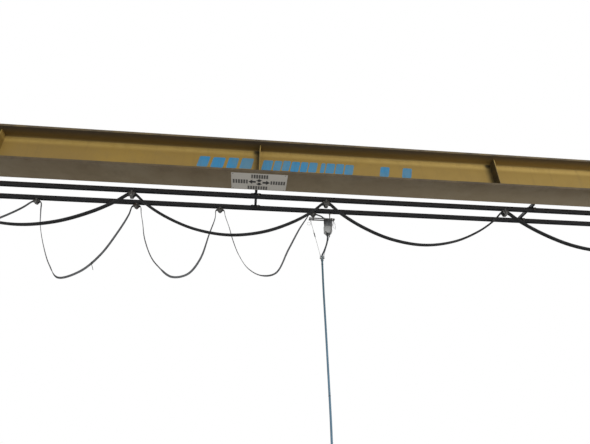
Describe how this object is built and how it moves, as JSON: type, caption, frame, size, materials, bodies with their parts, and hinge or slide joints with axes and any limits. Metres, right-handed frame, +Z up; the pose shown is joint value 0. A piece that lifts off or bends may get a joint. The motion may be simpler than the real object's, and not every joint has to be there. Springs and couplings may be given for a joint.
{
  "type": "overhead bridge crane",
  "caption": "Single girder overhead bridge crane on a stretch of runway, with hoist, festoon cables on two tracks and a pendant control.",
  "frame": {"origin": "centre of the underside of the left runway beam, at the middle of its length", "axes": "+X along the girder from the left runway to the right one, +Y across the girder towards the cable tracks, +Z up"},
  "size_m": [12.624, 6, 3.666],
  "materials": {
    "crane_yellow": "faded satin paint",
    "runway_grey": "satin paint",
    "rail_steel": "worn bright on top",
    "stop_yellow": "satin paint",
    "wheel_steel": "machined treads",
    "axle_steel": "machined",
    "drive_blue": "gloss paint",
    "buffer_rubber": "matt",
    "hoist_blue": "gloss paint",
    "drum_steel": "oiled",
    "box_grey": "textured powder coat",
    "rope_steel": "greased",
    "block_yellow": "gloss paint",
    "hook_steel": "forged",
    "arm_dark": "satin paint",
    "bracket_zinc": "zinc plated",
    "track_steel": "dull dark coating",
    "cap_plastic": "matt",
    "trolley_zinc": "zinc plated",
    "junction_grey": "satin",
    "wire_steel": "twisted wire",
    "clamp_dark": "matt",
    "station_yellow": "moulded",
    "button_black": "matt",
    "cable_black": "dull sheath",
    "cable_blue_grey": "dull sheath"
  },
  "bodies": {
    "runway": {"runway_beam_left": "runway_grey", "runway_beam_right": "runway_grey", "runway_rails": "rail_steel", "runway_stops": "stop_yellow"},
    "bridge": {"girder": "crane_yellow", "web_stiffeners": "crane_yellow", "girder_end_plates": "crane_yellow", "end_carriage_left": "crane_yellow", "end_carriage_right": "crane_yellow", "travel_wheels": "wheel_steel", "wheel_axles": "axle_steel", "travel_drive_left": "drive_blue", "travel_drive_right": "drive_blue", "buffers": "buffer_rubber", "hoist_trolley_frame": "crane_yellow", "hoist_trolley_wheels": "wheel_steel", "hoist_frame": "hoist_blue", "rope_drum": "drum_steel", "hoist_motor": "hoist_blue", "hoist_gearbox": "hoist_blue", "hoist_control_box": "box_grey", "hoist_rope": "rope_steel", "hook_block": "block_yellow", "bottom_sheave": "wheel_steel", "lifting_hook": "hook_steel", "control_cabinet": "box_grey", "track_arms": "arm_dark", "track_brackets": "bracket_zinc", "hoist_cable_track": "track_steel", "pendant_cable_track": "track_steel", "track_end_caps": "cap_plastic", "hoist_cable_trolleys": "trolley_zinc", "pendant_cable_trolleys": "trolley_zinc", "pendant_trolley": "trolley_zinc", "junction_box": "junction_grey", "strain_wires": "wire_steel", "strain_clamp": "clamp_dark", "push_button_station": "station_yellow", "push_buttons": "button_black", "hoist_festoon_cable": "cable_black", "pendant_festoon_cable": "cable_black", "pendant_lead": "cable_black", "pendant_cable": "cable_blue_grey"}
  },
  "joints": [
    {"name": "bridge_travel", "type": "slide", "parent": "runway", "child": "bridge", "axis": [0, 1, 0], "range_m": [-1.6, 1.6]}
  ]
}
